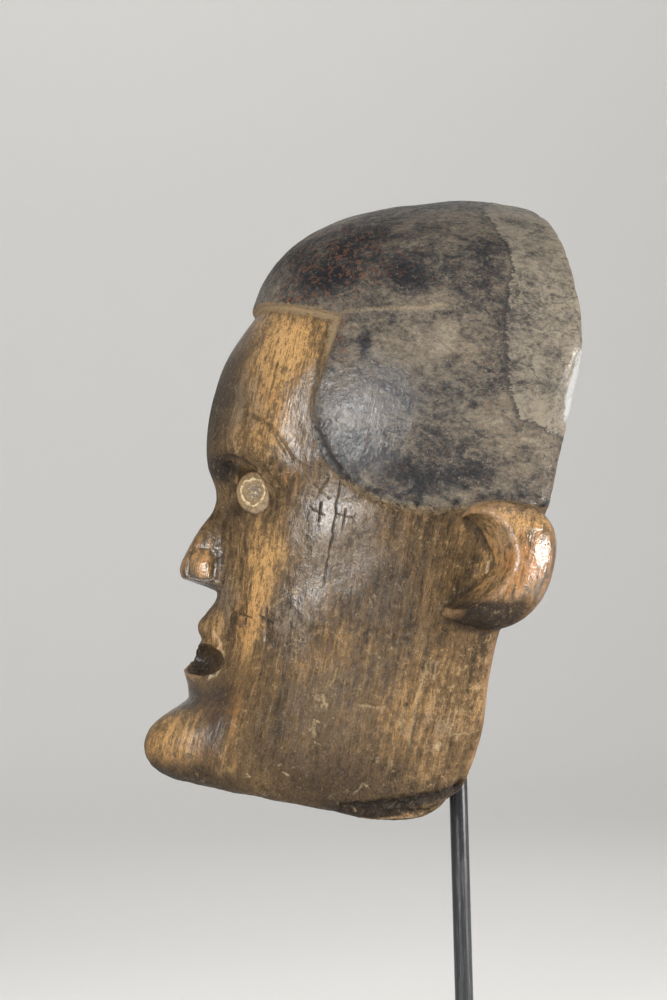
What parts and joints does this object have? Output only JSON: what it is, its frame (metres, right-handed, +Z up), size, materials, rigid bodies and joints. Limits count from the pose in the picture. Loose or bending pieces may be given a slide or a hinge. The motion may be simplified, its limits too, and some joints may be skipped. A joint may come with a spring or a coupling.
{
  "type": "carved face mask on museum stand",
  "caption": "Deep carved wooden face mask with a raised cap of hair, block-like jaw, jutting chin, thick open ears and inlaid eyes, leaning back on a thin black steel stand with a square foot",
  "frame": {"origin": "middle of the underside of the stand's foot plate, on the rod's axis", "axes": "+Z up along the rod, -Y the way the face looks, +X the mask's own left side"},
  "size_m": [0.2148, 0.2434, 0.4687],
  "materials": {
    "wood": "old carved wood, brown to ochre with a worn black cap and a waxed sheen",
    "eye": "pale worn inlay",
    "steel": "black paint, satin"
  },
  "bodies": {
    "root": {"mask": "wood", "left_eye_inlay": "eye", "right_eye_inlay": "eye", "stand_rod": "steel", "stand_foot": "steel"}
  },
  "joints": []
}
